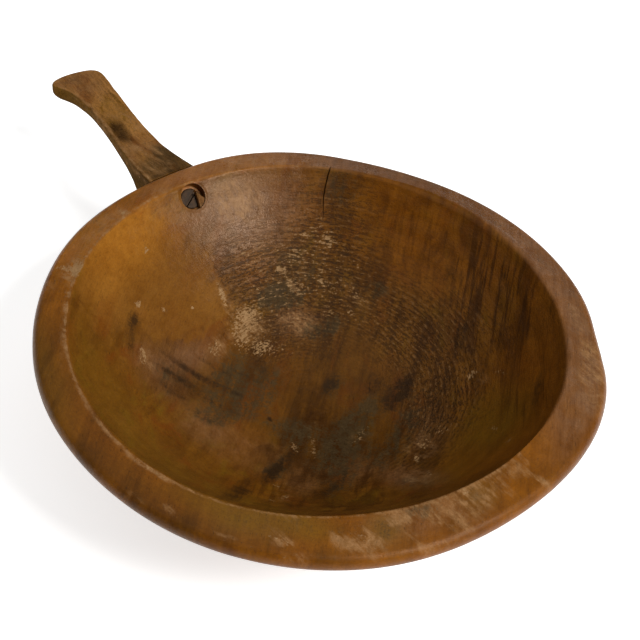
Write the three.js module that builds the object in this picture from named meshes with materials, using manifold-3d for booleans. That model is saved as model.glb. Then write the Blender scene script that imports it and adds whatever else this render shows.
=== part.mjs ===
// A wide, shallow bowl turned from one piece of wood, with a separate wooden handle.
// One slotted wood screw, driven from inside the bowl at the bottom of a counterbore, holds the handle.
// A broken piece of the wooden plug that once hid the screw is still in the counterbore.
//
// Millimetres, +Z up. The origin is the middle of the flat foot's underside, and the handle points along +X.

import * as THREE from 'three';
import { ParametricGeometry } from 'three/addons/geometries/ParametricGeometry.js';
import * as BufferGeometryUtils from 'three/addons/utils/BufferGeometryUtils.js';
import Module from 'manifold-3d';

const wasm = await Module();
wasm.setup();

// ---- driving dimensions ----

// Space left between pieces that touch.
const GAP = 0.3;

// The bowl. The rim's inner edge is its highest line, and the rim's top slopes down from there to a soft outer edge.
const RIM_HEIGHT = 70;
const RIM_INNER_RADIUS = 121;
const RIM_OUTER_RADIUS = 140;
const RIM_EDGE_RADIUS = 5;
const RIM_EDGE_DROP = 8;
const HOLLOW_DEPTH = 60;
// Share of the hollow's curve that is a parabola. The rest is a fourth power, which flattens the floor.
const HOLLOW_ROUNDNESS = 0.75;
const FOOT_RADIUS = 56;
// The outside wall is one curve from the rim to the foot, pulled towards this point.
const WALL_PULL_RADIUS = 112;
const WALL_PULL_HEIGHT = 28;
// How far below level the lowest part of the rim's outer edge faces, in degrees.
const WALL_START_ANGLE = 40;
// A bowl shrinks unevenly as it dries and is cut by hand, so its outlines are not true circles.
// Each wave has a number of crests round the bowl, a height, and the direction of one crest in degrees.
const HOLLOW_WAVES = [[2, 0.9, 93], [3, 0.9, -5], [4, 0.3, 38]];
const OUTSIDE_WAVES = [[1, 2, -136], [2, 0.3, -24], [3, 1.4, -3], [4, 0.6, -31], [5, 0.4, -13], [6, 0.6, -25],
  [7, 0.2, -25], [8, 0.2, -17]];
// The rim's outer edge is worn a little flat in one place.
const FLAT_DIRECTION = 235;
const FLAT_WIDTH = 9;
const FLAT_DEPTH = 2.4;
const BOWL_SIDES = 80;

// The screw's counterbore, and the screw. Heights are along the screw, from the counterbore's mouth.
const MOUTH_REACH = 115.8;
const MOUTH_SIDE = 1.5;
const MOUTH_HEIGHT = 63.9;
const SCREW_TILT = 50;
const COUNTERBORE_RADIUS = 7.25;
const COUNTERBORE_DEPTH = 4.6;
const HEAD_RADIUS = 5.5;
const HEAD_RECESS = 4;
const HEAD_EDGE = 0.5;
const HEAD_CONE = 3.2;
const SHANK_RADIUS = 2.7;
const SCREW_LENGTH = 30;
const THREAD_LENGTH = 18;
const THREAD_PITCH = 2;
const THREAD_CORE_RADIUS = 1.9;
const SLOT_WIDTH = 1.3;
const SLOT_DEPTH = 1.5;
const SLOT_ANGLE = 127;

// The handle's four edge lines, as [along, side] points from above and [along, height] points from the side.
// The waist is narrow, and the tip is both wider and thicker.
const HANDLE_LEFT = [[92, 16.8], [120, 16.8], [142, 16.6], [158, 16.3], [172, 15.1], [188, 13.2], [203, 11.8],
  [217, 11], [228, 11.3], [237, 12.4], [243.5, 14.6], [248.4, 17.6], [251.8, 18.4], [254.2, 16.6], [255.9, 12.4],
  [256.8, 7], [257, 1]];
const HANDLE_RIGHT = [[92, -15], [125, -14.6], [140, -12.1], [150, -10], [160, -8.6], [172, -8], [186, -8.2],
  [200, -9.2], [215, -10.8], [230, -12.5], [242, -13.7], [249, -14], [253, -13], [255.5, -10], [256.6, -5],
  [257, 1]];
const HANDLE_TOP = [[92, 65.5], [138, 65], [180, 63.2], [215, 61.9], [238, 61.4], [257, 61]];
const HANDLE_UNDERSIDE = [[92, 27], [126, 27.4], [138, 30.8], [145, 37.4], [151, 44.6], [158, 50.2], [168, 53.2],
  [180, 54.2], [200, 54.2], [218, 53.4], [232, 52.2], [244, 51.2], [251, 52.2], [257, 54.5]];
const HANDLE_TOP_ROUNDING = 1.2;
const HANDLE_UNDER_ROUNDING = 4;
const HANDLE_RINGS = 34;

// The piece of plug. Its broken edges run from a point near the middle to the counterbore's wall.
const PLUG_RADIUS = COUNTERBORE_RADIUS - GAP;
const PLUG_TOP = 1.3;
const PLUG_CORNER = [2.4, -3];
const PLUG_FIRST_ANGLE = 250;
const PLUG_LAST_ANGLE = 197;

// ---- shapes ----

const radians = (degrees) => degrees * Math.PI / 180;

// A closed three.js geometry as a solid that can be joined and cut.
function toSolid(geometry) {
  const bare = geometry.clone();
  bare.deleteAttribute('normal');
  bare.deleteAttribute('uv');
  const merged = BufferGeometryUtils.mergeVertices(bare, 1e-4);
  const mesh = new wasm.Mesh({
    numProp: 3,
    vertProperties: new Float32Array(merged.attributes.position.array),
    triVerts: new Uint32Array(merged.index.array),
  });
  return new wasm.Manifold(mesh);
}

function toGeometry(solid) {
  const mesh = solid.getMesh();
  const geometry = new THREE.BufferGeometry();
  geometry.setAttribute('position', new THREE.BufferAttribute(mesh.vertProperties, 3));
  geometry.setIndex(new THREE.BufferAttribute(mesh.triVerts, 1));
  geometry.computeVertexNormals();
  return geometry;
}

// A solid of revolution about Z, from points of radius and height that start and end on the axis, lowest first.
function turned(points, sides) {
  const geometry = new THREE.LatheGeometry(points.map(([r, z]) => new THREE.Vector2(r, z)), sides);
  geometry.rotateX(Math.PI / 2);
  return geometry;
}

function arc(radius, centre, from, to, steps) {
  const points = [];
  for (let i = 0; i <= steps; i += 1) {
    const angle = radians(from + (to - from) * i / steps);
    points.push([centre[0] + radius * Math.cos(angle), centre[1] + radius * Math.sin(angle)]);
  }
  return points;
}

function waveAt(waves, angle) {
  let sum = 0;
  for (const [crests, height, direction] of waves) {
    sum += height * Math.cos(crests * (angle - radians(direction)));
  }
  return sum;
}

function outsideWave(angle) {
  const turn = angle - radians(FLAT_DIRECTION);
  const off = Math.atan2(Math.sin(turn), Math.cos(turn)) / radians(FLAT_WIDTH);
  return waveAt(OUTSIDE_WAVES, angle) - FLAT_DEPTH * Math.exp(-(off ** 2));
}

// Moves every point of a turned form out or in by a wave. The share says how much of it applies at a radius.
function addWave(geometry, wave, share) {
  const position = geometry.attributes.position;
  for (let i = 0; i < position.count; i += 1) {
    const x = position.getX(i);
    const y = position.getY(i);
    const radius = Math.hypot(x, y);
    if (radius > 0.01) {
      const scale = 1 + wave(Math.atan2(y, x)) * share(radius) / radius;
      position.setX(i, x * scale);
      position.setY(i, y * scale);
    }
  }
  return geometry;
}

// ---- bowl ----

function hollowHeight(radius) {
  const t = radius / RIM_INNER_RADIUS;
  const curve = HOLLOW_ROUNDNESS * t ** 2 + (1 - HOLLOW_ROUNDNESS) * t ** 4;
  return RIM_HEIGHT - HOLLOW_DEPTH + HOLLOW_DEPTH * curve;
}

// The bowl's outside with nothing hollowed out, grown all over by a distance.
function outsideForm(grow) {
  const edgeCentre = [RIM_OUTER_RADIUS - RIM_EDGE_RADIUS, RIM_HEIGHT - RIM_EDGE_DROP];
  const rimRun = edgeCentre[0] - RIM_INNER_RADIUS;
  const rimFall = RIM_EDGE_DROP - RIM_EDGE_RADIUS;
  const rimTilt = THREE.MathUtils.radToDeg(Math.atan2(rimFall, rimRun));
  const edge = arc(RIM_EDGE_RADIUS + grow, edgeCentre, -WALL_START_ANGLE, 90 - rimTilt, 7);
  const wall = new THREE.QuadraticBezierCurve(
    new THREE.Vector2(FOOT_RADIUS + grow, -grow),
    new THREE.Vector2(WALL_PULL_RADIUS + grow, WALL_PULL_HEIGHT - grow),
    new THREE.Vector2(...edge[0]),
  ).getPoints(12).slice(0, -1).map((p) => [p.x, p.y]);
  const top = RIM_HEIGHT + grow + 1;
  const rimTop = [RIM_INNER_RADIUS - (1 + grow) * rimRun / rimFall, top];
  const points = [[0, -grow], ...wall, ...edge, rimTop, [0, top]];
  const share = (radius) => THREE.MathUtils.smoothstep(radius, FOOT_RADIUS + grow, RIM_OUTER_RADIUS - 10);
  return toSolid(addWave(turned(points, BOWL_SIDES), outsideWave, share));
}

function hollowForm() {
  const points = [[0, hollowHeight(0)]];
  const steps = 14;
  for (let i = 1; i <= steps; i += 1) {
    const radius = RIM_INNER_RADIUS * 1.06 * Math.sin(Math.PI / 2 * i / steps);
    points.push([radius, hollowHeight(radius)]);
  }
  points.push([0, points[steps][1]]);
  const wave = (angle) => waveAt(HOLLOW_WAVES, angle);
  const share = (radius) => Math.min(1, (radius / RIM_INNER_RADIUS) ** 2);
  return toSolid(addWave(turned(points, BOWL_SIDES), wave, share));
}

// Puts a solid or mesh made along Z, with Z pointing out of the counterbore's mouth, into its place in the bowl.
const inCounterbore = new THREE.Matrix4()
  .makeRotationY(radians(SCREW_TILT - 90))
  .setPosition(MOUTH_REACH, MOUTH_SIDE, MOUTH_HEIGHT);

// The counterbore, the countersink under it and the hole for the screw, as one cutting form.
function screwHole() {
  const shank = SHANK_RADIUS + GAP;
  const seat = HEAD_RADIUS + GAP;
  const coneEnd = HEAD_RECESS + HEAD_EDGE + HEAD_CONE;
  const points = [
    [0, -HEAD_RECESS - SCREW_LENGTH - 1],
    [shank, -HEAD_RECESS - SCREW_LENGTH - 1],
    [shank, -coneEnd],
    [seat, -COUNTERBORE_DEPTH - GAP],
    [seat, -COUNTERBORE_DEPTH],
    [COUNTERBORE_RADIUS, -COUNTERBORE_DEPTH],
    [COUNTERBORE_RADIUS, 12],
    [0, 12],
  ];
  return toSolid(turned(points, 32).applyMatrix4(inCounterbore));
}

function bowl() {
  return toGeometry(outsideForm(0).subtract(hollowForm()).subtract(screwHole()));
}

// ---- handle ----

const toPoint = ([a, b]) => new THREE.Vector2(a, b);

// A smooth line through points of [along, value], as a function that gives the value at a distance along.
function smoothLine(points) {
  const samples = new THREE.SplineCurve(points.map(toPoint)).getPoints(points.length * 8);
  return (along) => {
    const next = Math.max(1, samples.findIndex((p) => p.x >= along - 1e-9));
    const a = samples[next - 1];
    const b = samples[next];
    return THREE.MathUtils.mapLinear(along, a.x, b.x, a.y, b.y);
  };
}

// The handle's section: a rectangle with nearly sharp top corners and well rounded bottom ones.
function handleSection(left, right, top, bottom) {
  const half = (left - right) / 2;
  const upper = Math.min(HANDLE_TOP_ROUNDING, half * 0.9);
  const lower = Math.min(HANDLE_UNDER_ROUNDING, half * 0.9);
  return [
    ...arc(lower, [right + lower, bottom + lower], 180, 270, 3),
    ...arc(lower, [left - lower, bottom + lower], 270, 360, 3),
    ...arc(upper, [left - upper, top - upper], 0, 90, 2),
    ...arc(upper, [right + upper, top - upper], 90, 180, 2),
  ];
}

// The handle before its inner end is cut to the bowl. Rings of the section run out to the tip, and both ends close.
function handleBlank() {
  const [left, right, top, underside] = [HANDLE_LEFT, HANDLE_RIGHT, HANDLE_TOP, HANDLE_UNDERSIDE].map(smoothLine);
  const inner = HANDLE_LEFT[0][0];
  const reach = HANDLE_LEFT.at(-1)[0] - inner;
  const rings = [];
  for (let i = 0; i <= HANDLE_RINGS; i += 1) {
    // The rings come closer together towards the tip, where the outline turns fastest.
    const share = Math.sin(Math.PI / 2 * i / HANDLE_RINGS);
    const along = inner + reach * share;
    rings.push({ along, section: handleSection(left(along), right(along), top(along), underside(along)) });
  }
  for (const end of [rings[0], rings.at(-1)]) {
    const { section } = end;
    const centre = [0, 1].map((k) => section.reduce((sum, p) => sum + p[k], 0) / section.length);
    const closed = { along: end.along, section: section.map(() => centre) };
    if (end === rings[0]) rings.unshift(closed);
    else rings.push(closed);
  }
  const sides = rings[0].section.length;
  const surface = (u, v, target) => {
    const ring = rings[Math.round(v * (rings.length - 1))];
    const [side, height] = ring.section[Math.round(u * sides) % sides];
    target.set(ring.along, side, height);
  };
  return new ParametricGeometry(surface, sides, rings.length - 1);
}

function handle() {
  return toGeometry(toSolid(handleBlank()).subtract(outsideForm(GAP)).subtract(screwHole()));
}

// ---- screw ----

function screw() {
  const coneEnd = HEAD_RECESS + HEAD_EDGE + HEAD_CONE;
  const tip = HEAD_RECESS + SCREW_LENGTH;
  const threadStart = tip - THREAD_LENGTH;
  const points = [[0, -tip]];
  const turns = Math.round(THREAD_LENGTH / THREAD_PITCH);
  for (let i = 0; i < turns; i += 1) {
    // The first three turns taper to the point.
    const taper = Math.min(1, (i + 1) / 3);
    const base = -tip + i * THREAD_PITCH;
    points.push([SHANK_RADIUS * taper, base + THREAD_PITCH * 0.55]);
    points.push([THREAD_CORE_RADIUS * Math.min(1, (i + 2) / 3), base + THREAD_PITCH]);
  }
  points.push([SHANK_RADIUS, -threadStart + 0.6]);
  points.push([SHANK_RADIUS, -coneEnd - GAP]);
  points.push([HEAD_RADIUS, -HEAD_RECESS - HEAD_EDGE]);
  points.push([HEAD_RADIUS, -HEAD_RECESS]);
  points.push([0, -HEAD_RECESS]);
  const slot = new THREE.BoxGeometry(HEAD_RADIUS * 2 + 2, SLOT_WIDTH, SLOT_DEPTH * 2);
  slot.rotateZ(radians(SLOT_ANGLE));
  slot.translate(0, 0, -HEAD_RECESS);
  return toGeometry(toSolid(turned(points, 24)).subtract(toSolid(slot)));
}

// ---- the piece of plug left over the screw's head ----

function plugRemnant() {
  const rim = arc(PLUG_RADIUS, [0, 0], PLUG_FIRST_ANGLE, PLUG_LAST_ANGLE, 8);
  const outline = new THREE.Shape([PLUG_CORNER, ...rim].map(toPoint));
  const thickness = HEAD_RECESS - GAP - PLUG_TOP;
  const geometry = new THREE.ExtrudeGeometry(outline, { depth: thickness, bevelEnabled: false });
  geometry.translate(0, 0, -PLUG_TOP - thickness);
  return geometry;
}

// ---- assembly ----

const model = new THREE.Group();

function addPiece(name, geometry, colour, roughness, metalness, parent = model) {
  const material = new THREE.MeshStandardMaterial({ color: colour, roughness, metalness });
  const mesh = new THREE.Mesh(geometry, material);
  mesh.name = name;
  parent.add(mesh);
}

addPiece('bowl', bowl(), 0x6e4417, 0.5, 0);
addPiece('handle', handle(), 0x7a552c, 0.55, 0);

const counterbore = new THREE.Group();
counterbore.applyMatrix4(inCounterbore);
model.add(counterbore);
addPiece('handle_screw', screw(), 0x3a322c, 0.6, 0.8, counterbore);
addPiece('plug_remnant', plugRemnant(), 0x7d5a35, 0.75, 0, counterbore);

export default model;
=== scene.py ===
# A wide, shallow turned wooden bowl with a wooden handle held by one slotted screw. The look of the model.
# Shapes are written in millimetres and made in metres, in the frame's own axes: +Z up, the handle along +X.

from math import atan2, cos, hypot, pi, radians, sin

import bmesh
import bpy
import numpy as np
from mathutils import Matrix, Vector, noise


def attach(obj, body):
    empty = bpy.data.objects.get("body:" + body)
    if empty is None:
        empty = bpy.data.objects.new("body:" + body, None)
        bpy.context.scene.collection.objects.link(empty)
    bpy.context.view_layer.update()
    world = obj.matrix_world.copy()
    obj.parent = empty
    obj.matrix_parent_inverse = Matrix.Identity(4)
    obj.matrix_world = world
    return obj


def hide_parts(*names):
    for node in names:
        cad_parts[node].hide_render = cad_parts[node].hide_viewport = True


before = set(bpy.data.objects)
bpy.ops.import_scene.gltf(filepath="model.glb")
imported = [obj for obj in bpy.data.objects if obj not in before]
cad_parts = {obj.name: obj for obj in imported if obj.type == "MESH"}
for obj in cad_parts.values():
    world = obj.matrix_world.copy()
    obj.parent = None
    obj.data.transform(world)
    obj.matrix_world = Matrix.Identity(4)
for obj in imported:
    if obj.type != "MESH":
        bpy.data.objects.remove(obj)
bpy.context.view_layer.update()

MM = 0.001

# ---- camera: the bowl seen from above, with the handle away to the left ----

CAMERA_AT = Vector((-335.2, 281.3, 480.5)) * MM
CAMERA_AIM = Vector((-2.7, 1.2, 70)) * MM
CAMERA_LENS = 69.3
CAMERA_ROLL = radians(7.34)

scene = bpy.context.scene
camera = bpy.data.objects.new("camera", bpy.data.cameras.new("camera"))
camera.data.lens = CAMERA_LENS
camera.data.sensor_width = 36
forward = (CAMERA_AIM - CAMERA_AT).normalized()
level_right = forward.cross(Vector((0, 0, 1))).normalized()
level_up = level_right.cross(forward)
camera_up = level_up * cos(CAMERA_ROLL) - level_right * sin(CAMERA_ROLL)
camera_right = forward.cross(camera_up)
axes = Matrix((camera_right, camera_up, -forward)).transposed()
camera.matrix_world = Matrix.Translation(CAMERA_AT) @ axes.to_4x4()
scene.collection.objects.link(camera)
scene.camera = camera
scene.view_settings.view_transform = "Standard"
scene.view_settings.look = "None"

# ---- driving dimensions, the same as the CAD model's ----

GAP = 0.3
RIM_HEIGHT = 70
RIM_INNER_RADIUS = 121
RIM_OUTER_RADIUS = 140
RIM_EDGE_RADIUS = 5
RIM_EDGE_DROP = 8
HOLLOW_DEPTH = 60
HOLLOW_ROUNDNESS = 0.75
FOOT_RADIUS = 56
WALL_PULL_RADIUS = 112
WALL_PULL_HEIGHT = 28
WALL_START_ANGLE = 40
HOLLOW_WAVES = [(2, 0.9, 93), (3, 0.9, -5), (4, 0.3, 38)]
OUTSIDE_WAVES = [(1, 2, -136), (2, 0.3, -24), (3, 1.4, -3), (4, 0.6, -31), (5, 0.4, -13), (6, 0.6, -25),
                 (7, 0.2, -25), (8, 0.2, -17)]
FLAT_DIRECTION = 235
FLAT_WIDTH = 9
FLAT_DEPTH = 2.4

MOUTH = Vector((115.8, 1.5, 63.9))
SCREW_TILT = 50
COUNTERBORE_RADIUS = 7.25
COUNTERBORE_DEPTH = 4.6
HEAD_RADIUS = 5.5
HEAD_RECESS = 4
HEAD_EDGE = 0.5
HEAD_CONE = 3.2
SHANK_RADIUS = 2.7
SCREW_LENGTH = 30
THREAD_LENGTH = 18
THREAD_PITCH = 2
THREAD_CORE_RADIUS = 1.9
SLOT_WIDTH = 1.3
SLOT_DEPTH = 1.5
SLOT_ANGLE = 127
SCREW_SIDES = 48

# The handle's outlines, as points of (distance along, across or up).
HANDLE_LEFT = [(92, 16.8), (120, 16.8), (142, 16.6), (158, 16.3), (172, 15.1), (188, 13.2), (203, 11.8),
               (217, 11), (228, 11.3), (237, 12.4), (243.5, 14.6), (248.4, 17.6), (251.8, 18.4),
               (254.2, 16.6), (255.9, 12.4), (256.8, 7), (257, 1)]
HANDLE_RIGHT = [(92, -15), (125, -14.6), (140, -12.1), (150, -10), (160, -8.6), (172, -8), (186, -8.2),
                (200, -9.2), (215, -10.8), (230, -12.5), (242, -13.7), (249, -14), (253, -13), (255.5, -10),
                (256.6, -5), (257, 1)]
HANDLE_TOP = [(92, 65.5), (138, 65), (180, 63.2), (215, 61.9), (238, 61.4), (257, 61)]
HANDLE_UNDERSIDE = [(92, 27), (126, 27.4), (138, 30.8), (145, 37.4), (151, 44.6), (158, 50.2), (168, 53.2),
                    (180, 54.2), (200, 54.2), (218, 53.4), (232, 52.2), (244, 51.2), (251, 52.2), (257, 54.5)]
HANDLE_TOP_ROUNDING = 1.2
HANDLE_UNDER_ROUNDING = 4

PLUG_RADIUS = COUNTERBORE_RADIUS - GAP
PLUG_TOP = 1.3
PLUG_CORNER = (2.4, -3)
PLUG_FIRST_ANGLE = 250
PLUG_LAST_ANGLE = 197

# The grain of the bowl's block runs this way, in degrees from +X.
GRAIN_DIRECTION = -40

# The screw's frame: +Z out of the counterbore's mouth.
in_counterbore = Matrix.Translation(MOUTH) @ Matrix.Rotation(radians(SCREW_TILT - 90), 4, "Y")


# ---- shape helpers ----

def smoothstep(value, low, high):
    t = np.clip((value - low) / (high - low), 0, 1)
    return t * t * (3 - 2 * t)


def wave_at(waves, angle):
    """The sum of waves round the bowl. A wave is (crests, height, direction of a crest)."""
    return sum(height * np.cos(crests * (angle - radians(direction))) for crests, height, direction in waves)


def outside_wave(angle):
    turn = angle - radians(FLAT_DIRECTION)
    off = np.arctan2(np.sin(turn), np.cos(turn)) / radians(FLAT_WIDTH)
    return wave_at(OUTSIDE_WAVES, angle) - FLAT_DEPTH * np.exp(-off ** 2)


def hollow_height(radius):
    t = radius / RIM_INNER_RADIUS
    rise = HOLLOW_ROUNDNESS * t ** 2 + (1 - HOLLOW_ROUNDNESS) * t ** 4
    return RIM_HEIGHT - HOLLOW_DEPTH + HOLLOW_DEPTH * rise


def cloud(points, size, seed=0):
    """Smooth noise from about -1 to 1 at each point, with features of that size."""
    offset = Vector((seed * 17.3, seed * 5.1, seed * 9.7))
    return np.array([noise.noise(Vector(p) / size + offset) for p in points])


def bend(t, start, pull, end):
    """The point at t, from 0 to 1, on the curve from start to end that is pulled towards a third point."""
    return (1 - t) ** 2 * start + 2 * t * (1 - t) * pull + t ** 2 * end


def ring_at(radius, angle, height):
    return np.stack([radius * np.cos(angle), radius * np.sin(angle), np.full(angle.shape, height)], axis=1)


def as_object(name, mesh):
    piece = bpy.data.objects.new(name, mesh)
    scene.collection.objects.link(piece)
    return piece


def solid(name, rings):
    """A closed object from rings of points, which count as ring, side and coordinate, in mm."""
    rings = np.array(rings)
    count, sides = rings.shape[:2]
    points = rings.reshape(-1, 3)
    faces = []
    for j in range(count - 1):
        for i in range(sides):
            k = (i + 1) % sides
            faces.append((j * sides + i, j * sides + k, (j + 1) * sides + k, (j + 1) * sides + i))
    low, high = len(points), len(points) + 1
    points = np.vstack([points, rings[0].mean(axis=0), rings[-1].mean(axis=0)])
    for i in range(sides):
        k = (i + 1) % sides
        faces.append((low, k, i))
        faces.append((high, (count - 1) * sides + i, (count - 1) * sides + k))
    mesh = bpy.data.meshes.new(name)
    mesh.from_pydata((points * MM).tolist(), [], faces)
    mesh.update()
    return as_object(name, mesh)


def seat_on_screw(piece):
    """Moves a shape that was made about the screw's axis to its place."""
    piece.data.transform(Matrix.Scale(MM, 4) @ in_counterbore @ Matrix.Scale(1 / MM, 4))


def outwards(piece):
    """Turns every face to look outwards."""
    work = bmesh.new()
    work.from_mesh(piece.data)
    bmesh.ops.recalc_face_normals(work, faces=work.faces)
    work.to_mesh(piece.data)
    work.free()


def cut(piece, *cutters):
    """Takes the cutters away from the piece, for good."""
    for cutter in cutters:
        outwards(cutter)
        step = piece.modifiers.new("cut", "BOOLEAN")
        step.operation = "DIFFERENCE"
        step.solver = "EXACT"
        step.object = cutter
    bpy.context.view_layer.update()
    graph = bpy.context.evaluated_depsgraph_get()
    result = bpy.data.meshes.new_from_object(piece.evaluated_get(graph))
    piece.modifiers.clear()
    piece.data = result
    for cutter in cutters:
        bpy.data.objects.remove(cutter)


def finish_shape(piece, sharp_angle):
    """Smooth shading, broken at edges sharper than the angle."""
    piece.data.shade_smooth()
    piece.data.set_sharp_from_angle(angle=radians(sharp_angle))


def points_of(piece):
    """The piece's vertices in mm."""
    flat = np.empty(len(piece.data.vertices) * 3)
    piece.data.vertices.foreach_get("co", flat)
    return flat.reshape(-1, 3) / MM


def facing_up(piece):
    """How far each vertex looks upwards, from -1 to 1."""
    flat = np.empty(len(piece.data.vertices) * 3)
    piece.data.vertex_normals.foreach_get("vector", flat)
    return flat.reshape(-1, 3)[:, 2]


def set_masks(piece, **masks):
    """Stores each mask on the piece's vertices, for its material to read."""
    count = len(piece.data.vertices)
    for name, values in masks.items():
        layer = piece.data.attributes.new(name, "FLOAT", "POINT")
        layer.data.foreach_set("value", np.clip(np.broadcast_to(values, count), 0, 1).astype(np.float32))


def dress(piece, material):
    piece.data.materials.clear()
    piece.data.materials.append(material)


def blots(points, spots):
    """How strongly soft oval spots cover each point."""
    left = np.ones(len(points))
    for x, y, length, width, direction, strength in spots:
        a = radians(direction)
        along = ((points[:, 0] - x) * cos(a) + (points[:, 1] - y) * sin(a)) / length
        across = ((points[:, 1] - y) * cos(a) - (points[:, 0] - x) * sin(a)) / width
        left *= 1 - strength / 100 * np.exp(-(along ** 2 + across ** 2) ** 1.5 * 0.7)
    return 1 - left


# ---- the bowl ----

# Degrees between the mesh's columns, and the least gap to leave where they meet.
COLUMN = 0.95
FINE_COLUMN = 0.3
COLUMN_GAP_LEFT = 0.4
CRACK_DIRECTION = -38.5

# The rim's inner edge is worn widest in this direction, over this many degrees to each side, by this many mm.
WEAR_DIRECTION = -68
WEAR_SPREAD = 19
WEAR_EXTRA = 2.4


# The rim's outer round: its middle as (radius, height), and the angle at which the wall meets it.
EDGE_CENTRE = np.array([RIM_OUTER_RADIUS - RIM_EDGE_RADIUS, RIM_HEIGHT - RIM_EDGE_DROP])
EDGE_START = -radians(WALL_START_ANGLE)


def wall_line(shares, grow=0.0):
    """Points of (radius, height) up the outer wall, from foot to rim, grown by a distance."""
    foot = np.array([FOOT_RADIUS + grow, -grow])
    pull = np.array([WALL_PULL_RADIUS + grow, WALL_PULL_HEIGHT - grow])
    start = EDGE_CENTRE + (RIM_EDGE_RADIUS + grow) * np.array([cos(EDGE_START), sin(EDGE_START)])
    return [bend(t, foot, pull, start) for t in shares]


def bowl_columns():
    """Directions round the bowl. They are closer together at the screw and at the crack."""
    directions = []
    angle = -180.0
    while angle < 180 - COLUMN_GAP_LEFT:
        directions.append(radians(angle))
        near_screw = abs(angle) < 5
        near_crack = abs(angle - CRACK_DIRECTION) < 4
        angle += FINE_COLUMN if near_screw or near_crack else COLUMN
    return np.array(directions)


def rim_profile(angle):
    """The rim's inner edge and outer round for each direction."""
    inside = RIM_INNER_RADIUS + wave_at(HOLLOW_WAVES, angle)
    shift = outside_wave(angle)
    slope = (RIM_EDGE_DROP - RIM_EDGE_RADIUS) / (RIM_OUTER_RADIUS - RIM_EDGE_RADIUS - RIM_INNER_RADIUS)
    height = RIM_HEIGHT - slope * (inside - shift - RIM_INNER_RADIUS)
    return inside, shift, height


def far_wear(angle):
    """From 0 to 1 where the rim's inner edge is worn widest."""
    return np.exp(-((angle - radians(WEAR_DIRECTION)) / radians(WEAR_SPREAD)) ** 2)


def bowl_rings(angle):
    """Radius and height of every ring in each direction, from the foot's middle to the hollow's."""
    inside, shift, edge_height = rim_profile(angle)
    radius, height = [], []

    def add(r, z):
        radius.append(np.broadcast_to(r, angle.shape))
        height.append(np.broadcast_to(z, angle.shape))

    for r in (2, 8, 16, 24, 32, 40, 46, 50, 53, 54.6):
        add(r, 0.0)
    for r, z in wall_line(np.linspace(0.012, 1, 46)):
        add(r + shift * smoothstep(r, FOOT_RADIUS, RIM_OUTER_RADIUS - 10), z)
    tilt = atan2(RIM_EDGE_DROP - RIM_EDGE_RADIUS, EDGE_CENTRE[0] - RIM_INNER_RADIUS)
    for t in np.linspace(0, 1, 15)[1:]:
        a = EDGE_START + t * (pi / 2 - tilt - EDGE_START)
        add(EDGE_CENTRE[0] + RIM_EDGE_RADIUS * cos(a) + shift, EDGE_CENTRE[1] + RIM_EDGE_RADIUS * sin(a))
    outer_r, outer_z = radius[-1], height[-1]
    # The inner edge is worn to a soft corner, more in some places than in others.
    wear = 1.5 + 0.5 * np.sin(3 * angle + 1) + 0.4 * np.sin(7 * angle) + 0.3 * np.sin(17 * angle + 2)
    wear = wear + WEAR_EXTRA * far_wear(angle)
    top_slope = (edge_height - outer_z) / (inside - outer_r)
    top_r, top_z = inside + wear, edge_height + top_slope * wear
    for t in np.linspace(0, 1, 18)[1:]:
        add(outer_r + (top_r - outer_r) * t, outer_z + (top_z - outer_z) * t)
    nominal = RIM_INNER_RADIUS - wear * 0.63
    wall_r = nominal + (inside - RIM_INNER_RADIUS) * (nominal / RIM_INNER_RADIUS) ** 2
    wall_z = hollow_height(nominal)
    for t in np.linspace(0, 1, 8)[1:]:
        add(bend(t, top_r, inside, wall_r), bend(t, top_z, edge_height, wall_z))
    steps = list(np.arange(0.6, 17, 0.6)) + list(np.arange(17, 112, 1.25)) + [113, 114.5, 116, 117.2]
    for down in steps:
        r = nominal * (1 - down / RIM_INNER_RADIUS)
        add(r + (inside - RIM_INNER_RADIUS) * (r / RIM_INNER_RADIUS) ** 2, hollow_height(r))
    return np.array(radius), np.array(height)


def turned_cutter(name, profile):
    """A solid of revolution about the screw's axis, from points of radius and height, lowest first."""
    angle = np.linspace(0, 2 * pi, SCREW_SIDES, endpoint=False)
    piece = solid(name, [ring_at(r, angle, z) for r, z in profile])
    seat_on_screw(piece)
    return piece


def screw_hole(name):
    shank, seat = SHANK_RADIUS + GAP, HEAD_RADIUS + GAP
    bore, floor = COUNTERBORE_RADIUS, -COUNTERBORE_DEPTH
    return turned_cutter(name, [
        (shank, -HEAD_RECESS - SCREW_LENGTH - 1), (shank, -HEAD_RECESS - HEAD_EDGE - HEAD_CONE),
        (seat, floor - GAP), (seat, floor), (bore - 0.25, floor), (bore, floor + 0.25), (bore, 12),
    ])


# The crack runs down the hollow's wall from the rim's inner edge: (x, y, width) along it.
CRACK = [(97.6, -77.2, 1.4), (95.8, -75.2, 1.2), (93.8, -72.3, 0.95), (91.4, -69.6, 0.85), (88.6, -66.8, 0.7),
         (85.8, -64.9, 0.55), (83, -63.2, 0.35), (80, -61.8, 0.1)]
CRACK_DEPTH = 2.5


def crack_cutter():
    """A thin wedge along the crack, sharp at the bottom."""
    path = np.array([(x, y) for x, y, width in CRACK])
    run = np.gradient(path, axis=0)
    side = np.stack([-run[:, 1], run[:, 0]], axis=1) / np.hypot(run[:, 0], run[:, 1])[:, None]
    rings = []
    for (x, y, width), (sx, sy) in zip(CRACK, side):
        radius, half = hypot(x, y), width / 2
        z = hollow_height(radius)
        top, bottom = z + 3, z - CRACK_DEPTH * min(1, width + 0.3)
        corners = [(half, -2, top), (-half, -2, top), (-half * 0.9, 0, z), (-0.05, 1, bottom),
                   (0.05, 1, bottom), (half * 0.9, 0, z)]
        rings.append([(x + sx * aside + x / radius * out, y + sy * aside + y / radius * out, up)
                      for aside, out, up in corners])
    return solid("crack_cutter", rings)


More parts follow.
